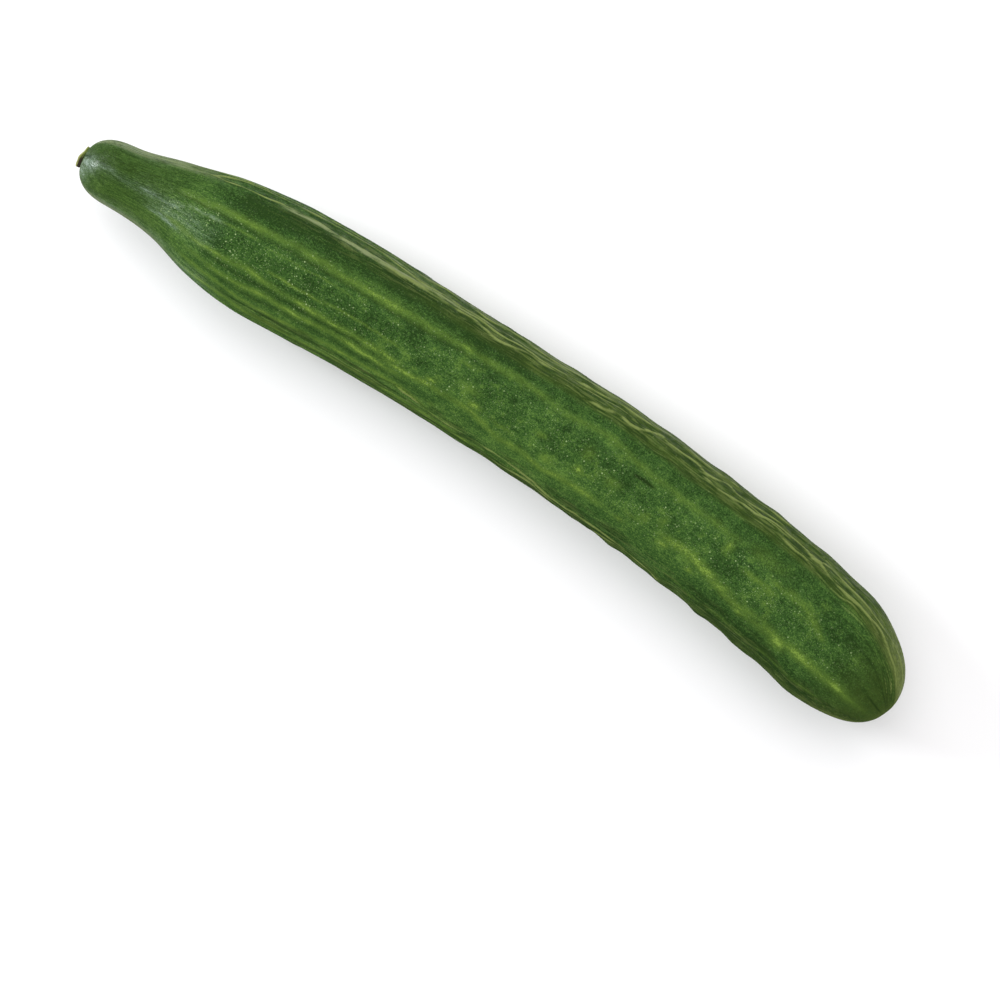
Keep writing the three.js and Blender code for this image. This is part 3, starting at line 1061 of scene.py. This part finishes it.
@dataclass
class Fruit:
    """The fruit itself, which replaces the plainer solid."""

    spine: Spine = field(default_factory=Spine)
    relief: Relief = field(default_factory=Relief)
    finish: SkinFinish = field(default_factory=SkinFinish)
    points_round: int = 380
    points_on_top: float = 0.45
    stalk_cap_rows: int = 20
    body_rows: int = 200
    blossom_cap_rows: int = 30
    cap_crowding: float = 1.25
    stripe_breaks: float = 1.5
    # Along the fruit.
    tip_to_neck: Stretch = (-161, -151)
    neck_rims_end: Stretch = (-142, -112)
    neck_wax_end: Stretch = (-150, -115)
    neck_to_body: Stretch = (-142, -104)
    olive_start: Stretch = (-90, 10)
    body_to_blossom: Stretch = (136, 168)
    # Shares of the full radius, as in Spine.end_rounding.
    calm_tips: Stretch = (0.1, 0.5)
    # Round the fruit.
    upper_rim: Band = (66, 8, 20, 12)
    lower_rim: Band = (-82, 14, 10, 8)
    upper_olive: Band = (58, 18, 24, 9)
    lower_olive: Band = (-80, 20, 8, 10)
    upper_wax: Band = (80, 26, 20, 16)
    lower_wax: Band = (-80, 14, 30, 14)

    def places(self) -> Array:
        """Spaces the rings of points.

        Returns:
            The places along the fruit where a ring goes.
        """

        def cap(length: float, power: float, rows: int) -> Array:
            """Gives the distances from one end of its rings."""
            turn = math.pi / 2 * (np.arange(1, rows + 1) / rows) ** self.cap_crowding
            return length * (1 - np.cos(turn).clip(0) ** (2 / power))

        spine = self.spine
        stalk = cap(spine.stalk_cap, spine.stalk_cap_power, self.stalk_cap_rows)
        blossom = cap(spine.blossom_cap, spine.blossom_cap_power, self.blossom_cap_rows)
        body_start = spine.stalk_end + spine.stalk_cap
        body_end = spine.blossom_end - spine.blossom_cap
        body = np.linspace(body_start, body_end, self.body_rows + 2)[1:-1]
        return np.concatenate([spine.stalk_end + stalk, body, spine.blossom_end - blossom[::-1]])

    def angles(self) -> Array:
        """Gives the angles of a ring's points, which lie closer together on the top."""
        turn = 2 * math.pi * np.arange(self.points_round) / self.points_round
        return np.degrees(turn - self.points_on_top * np.sin(turn))

    def build(self) -> bpy.types.Object:
        """Builds the fruit and dresses it.

        Returns:
            The piece, which rides on the root body.
        """
        spine, relief = self.spine, self.relief
        skin = Skin(*np.meshgrid(self.places(), self.angles(), indexing="ij"))
        rings = spine.point(skin, relief.coarse(spine, skin) + relief.fine(spine, skin))
        tips = Skin(np.array([spine.stalk_end, spine.blossom_end]), np.zeros(2))
        first, last = spine.point(tips, np.zeros(2))
        piece = closed_mesh("cucumber_fruit", first, rings, last)
        self.add_patterns(piece, skin)
        piece.data.materials.append(self.finish.material())
        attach(piece, "root")
        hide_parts("fruit")
        log.info("fruit: %d points", len(piece.data.vertices))
        return piece

    def add_patterns(self, piece: bpy.types.Object, skin: Skin) -> None:
        """Gives the mesh the numbers that its finish reads.

        Args:
            piece: the fruit.
            skin: places of its rings' points.
        """
        spine, relief, x = self.spine, self.relief, skin.x
        turn = np.radians(skin.angle)
        shrink = MID_GIRTH_RADIUS * np.maximum(spine.end_rounding(x), 0.05)
        rings = np.stack([x, shrink * np.sin(turn), shrink * np.cos(turn)], axis=-1)
        first = np.array([spine.stalk_end, 0, 0])
        last = np.array([spine.blossom_end, 0, 0])
        add_layer(piece, "skin_place", first, rings, last)
        flank, face = relief.flank(skin), relief.face(skin)
        folds = np.clip(relief.wrinkles(skin), 0, 1) * flank * 0.45
        crests = shown_marks(DRY_CRESTS, skin, relief.crest_breaks)
        on_neck = 1 - rise(x, *self.neck_rims_end)
        # Painted sheen along the neck's two rims, then the crests' bloom with painted sheen.
        rims = np.maximum(0.85 * skin.band(*self.upper_rim), 0.7 * skin.band(*self.lower_rim))
        sides = np.maximum(skin.band(*self.upper_olive), 0.5 * skin.band(*self.lower_olive))
        olive = np.maximum(sides * rise(x, *self.olive_start), 0.35 * on_neck)
        bloom_and_sheen = np.maximum(rims * on_neck, shown_marks(GREY_BLOOM_AND_SHEEN, skin))
        shaded = shown_marks(SHADED_BANDS, skin) - shown_marks(SUNNY_BANDS, skin)
        # Each pattern, and the even value that it takes at the stalk's and the blossom's tip.
        patterns = {
            "stripe": (shown_marks(PALE_STRIPES, skin, self.stripe_breaks), 0, 0.1),
            "crest": (np.maximum(crests, folds), 0, 0.1),
            # The furrows, darkened with painted shade.
            "furrow_shade": (shown_marks(SHADED_FURROWS, skin), 0, 0.1),
            # Painted light and shade of the soft lumps: lighter on them, darker in their hollows.
            "lumps": (0.8 * relief.dimples(skin) * face, 0, 0),
            "olive": (olive, 0.3, 0.5),
            "bloom_and_sheen": (bloom_and_sheen, 0, 0),
            "face": (face, 0, 0),
            "flank": (np.clip(flank, 0, 1), 0, 0.4),
            "blossom": (rise(x, *self.body_to_blossom), 0, 1),
            "neck": (1 - rise(x, *self.neck_to_body), 1, 0),
            "gloss": (self.gloss(skin), 0.5, 0),
            # Painted glare and sheen on the neck.
            "glare_and_sheen": (shown_marks(GLARE_AND_SHEEN_MARKS, skin), 0.3, 0),
            "shaded": (shaded, 0, 0.2),
            "freckle_and_glint_spread": (self.freckle_and_glint_spread(skin), 0, 0),
        }
        kept = rise(spine.end_rounding(x), *self.calm_tips)
        for name, (numbers, at_stalk, at_blossom) in patterns.items():
            at_end = np.where(x < 0, at_stalk, at_blossom)
            add_layer(piece, name, at_stalk, at_end + (numbers - at_end) * kept, at_blossom)

    def gloss(self, skin: Skin) -> Array:
        """Gives how waxy and shiny the skin is: most on the neck's end and its shoulder.

        Args:
            skin: places on it.

        Returns:
            Weights of the wax, from 0 to 1.
        """
        top = skin.hill(-6, 30)
        tip = 1 - rise(skin.x, *self.tip_to_neck)
        shoulder = 0.2 * top * skin.along(-140, -116, 10)
        upper = 0.26 * skin.band(*self.upper_wax)
        lower = 0.2 * skin.band(*self.lower_wax) * (1 - rise(skin.x, *self.neck_wax_end))
        return np.maximum(0.05 + shoulder + upper + lower, tip * (0.2 + 0.8 * top))

    def freckle_and_glint_spread(self, skin: Skin) -> Array:
        """Gives how thickly pale specks and painted glints lie: most on the top behind the neck."""
        top = skin.hill(-9, 28) * np.maximum(skin.along(-126, -76, 14), 0.65 * skin.along(-110, 140, 20))
        return np.maximum(top, 0.12 * skin.along(-110, 140, 30))


@dataclass
class StalkStub:
    """The short cut stub of the stalk in its seat at the neck's end."""

    spine: Spine = field(default_factory=Spine)
    finish: StalkFinish = field(default_factory=StalkFinish)
    # Distance out of the neck's end and radius, from the root to the cut face.
    outline: tuple[tuple[float, float], ...] = (
        (-1.2, 2.2),
        (-0.9, 2.9),
        (-0.6, 3.6),
        (-0.2, 4.0),
        (0.5, 4.1),
        (1.1, 4.0),
        (1.3, 3.5),
        (1.1, 2.4),
        (0.95, 1.1),
    )
    root_end: float = -1.2
    cut_middle: float = 0.78
    rib_count: int = 5
    rib_height: float = 0.09
    oval: float = 0.06
    shorter_side: float = 0.4
    tilt: float = 3
    points_round: int = 120
    rows_between: int = 6
    roughness: float = 0.07
    # Where the pale rim and the browned cut face start and are full, out of the neck and across.
    rim_out: Stretch = (0.4, 0.8)
    rim_radius: Stretch = (2.6, 3.4)
    cut_out: Stretch = (0.95, 1.05)
    cut_radius: Stretch = (2.4, 3.0)

    def build(self) -> bpy.types.Object:
        """Builds the stub and dresses it.

        Returns:
            The piece, which rides on the root body.
        """
        outline = np.array(self.outline)
        steps = np.arange((len(outline) - 1) * self.rows_between + 1) / self.rows_between
        knots = np.arange(len(outline))
        out = np.interp(steps, knots, outline[:, 0])
        radius = np.interp(steps, knots, outline[:, 1])
        angles = np.arange(self.points_round) * 360 / self.points_round
        out, angle = np.meshgrid(out, angles, indexing="ij")
        radius = np.broadcast_to(radius[:, None], out.shape)
        turn = np.radians(angle)
        rim = rise(radius, *self.rim_radius) * rise(out, *self.rim_out)
        cut = rise(out, *self.cut_out) * (1 - rise(radius, *self.cut_radius))
        out = out - self.shorter_side * np.maximum(out, 0) * rise(-np.sin(turn), -0.3, 0.5)
        ribbed = 1 + self.rib_height * np.cos(self.rib_count * turn) + self.oval * np.cos(2 * turn)
        rough = SkinNoise(31, 0.5, 30, 3).at(Skin(out, angle)) * self.roughness
        across = radius * (ribbed - np.abs(rough))
        own = np.stack([out + 0.5 * rough, across * np.sin(turn), across * np.cos(turn)], axis=-1)
        first, last = np.array([self.root_end, 0, 0]), np.array([self.cut_middle, 0, 0])
        piece = closed_mesh("cucumber_stalk_stub", *self.placed(first, own, last))
        add_layer(piece, "stub_place", first, own, last)
        add_layer(piece, "rim", 0, rim, 0)
        add_layer(piece, "cut", 0, cut, 1)
        # Painted shade on the stub's side towards −Y, falling off towards +Y.
        add_layer(piece, "shaded_side", 0.5, 0.5 + 0.5 * np.sin(turn), 0.5)
        piece.data.materials.append(self.finish.material())
        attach(piece, "root")
        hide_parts("stalk_stub")
        log.info("stalk stub: %d points", len(piece.data.vertices))
        return piece

    def placed(self, *groups: Array) -> list[Array]:
        """Moves points from the stub's own axis to its place on the neck.

        Args:
            groups: groups of points.

        Returns:
            The groups in the same order.
        """
        tip = np.array([self.spine.stalk_end])
        centre, direction = self.spine.centre(tip)[0], self.spine.direction(tip)[0]
        outwards = math.atan2(-direction[1], -direction[0]) - math.radians(self.tilt)
        turned = np.array(Matrix.Rotation(outwards, 3, "Z"))
        return [points @ turned.T + centre for points in groups]


# Studio


@dataclass(frozen=True)
class SoftBox:
    """A large soft lamp that shines at the middle of the fruit."""

    name: str
    azimuth: float
    elevation: float
    distance: float
    size: float
    power: float
    colour: Colour

    def build(self) -> None:
        """Adds the lamp."""
        lamp = bpy.data.lights.new(self.name, "AREA")
        lamp.shape = "SQUARE"
        lamp.size = self.size
        lamp.energy = self.power
        lamp.color = self.colour
        holder = bpy.data.objects.new(self.name, lamp)
        turn, lift = math.radians(self.azimuth), math.radians(self.elevation)
        away = Vector((math.cos(turn) * math.cos(lift), math.sin(turn) * math.cos(lift), math.sin(lift)))
        holder.location = away * self.distance
        holder.rotation_euler = away.to_track_quat("Z", "Y").to_euler()
        bpy.context.scene.collection.objects.link(holder)


@dataclass(frozen=True)
class Studio:
    """The pale floor, the soft light and the camera."""

    # Straight above the part, turned so that the fruit lies as in the photograph.
    camera_place: tuple[float, float, float] = (17.92, -26.95, 978.42)
    camera_turn: float = 34.489
    camera_reach: float = 20
    lens: float = 100
    sensor: float = 36
    floor_side: float = 6.0
    floor_colour: Colour = (0.86, 0.85, 0.86)
    floor_roughness: float = 0.9
    floor_glow: float = 0.1
    sky_strength: float = 0.78
    boxes: tuple[SoftBox, ...] = (
        SoftBox("left window", 190, 31, 1.5, 0.42, 11, (0.94, 0.98, 1.0)),
        SoftBox("broad", 125, 54, 1.9, 2.2, 20, WHITE),
    )

    def build(self) -> None:
        """Adds the floor, the lamps, the sky and the camera."""
        self.add_floor()
        self.add_sky()
        for box in self.boxes:
            box.build()
        self.add_camera()
        view = bpy.context.scene.view_settings
        view.view_transform = "Standard"
        view.look = "None"

    def add_floor(self) -> None:
        """Adds a plain pale floor."""
        half = self.floor_side / 2
        corners = [(-half, -half, 0), (half, -half, 0), (half, half, 0), (-half, half, 0)]
        mesh = bpy.data.meshes.new("floor")
        mesh.from_pydata(corners, [], [(0, 1, 2, 3)])
        material = bpy.data.materials.new("floor")
        tree = ShaderTree(material)
        inputs = {
            "Base Color": self.floor_colour,
            "Roughness": self.floor_roughness,
            "Specular IOR Level": 0.0,
            "Emission Color": WHITE,
            "Emission Strength": self.floor_glow,
        }
        tree.surface(inputs)
        mesh.materials.append(material)
        floor = bpy.data.objects.new("floor", mesh)
        bpy.context.scene.collection.objects.link(floor)

    def add_sky(self) -> None:
        """Surrounds the part with even white light."""
        world = bpy.data.worlds.new("sky")
        bpy.context.scene.world = world
        tree = ShaderTree(world)
        inputs = {"Color": WHITE, "Strength": self.sky_strength}
        background = tree.node("ShaderNodeBackground", {}, inputs)
        tree.node("ShaderNodeOutputWorld", {}, {"Surface": background.outputs[0]})

    def add_camera(self) -> None:
        """Hangs the camera over the part."""
        lens = bpy.data.cameras.new("camera")
        lens.lens = self.lens
        lens.sensor_width = self.sensor
        lens.clip_end = self.camera_reach
        camera = bpy.data.objects.new("camera", lens)
        place = Matrix.Translation(Vector(self.camera_place) * MM)
        camera.matrix_world = place @ Matrix.Rotation(math.radians(self.camera_turn), 4, "Z")
        bpy.context.scene.collection.objects.link(camera)
        bpy.context.scene.camera = camera


def main() -> None:
    """Builds the studio, then the pieces in order."""
    Studio().build()
    log.info("studio: floor, lights and camera")
    Fruit().build()
    StalkStub().build()


if __name__ == "__main__":
    main()
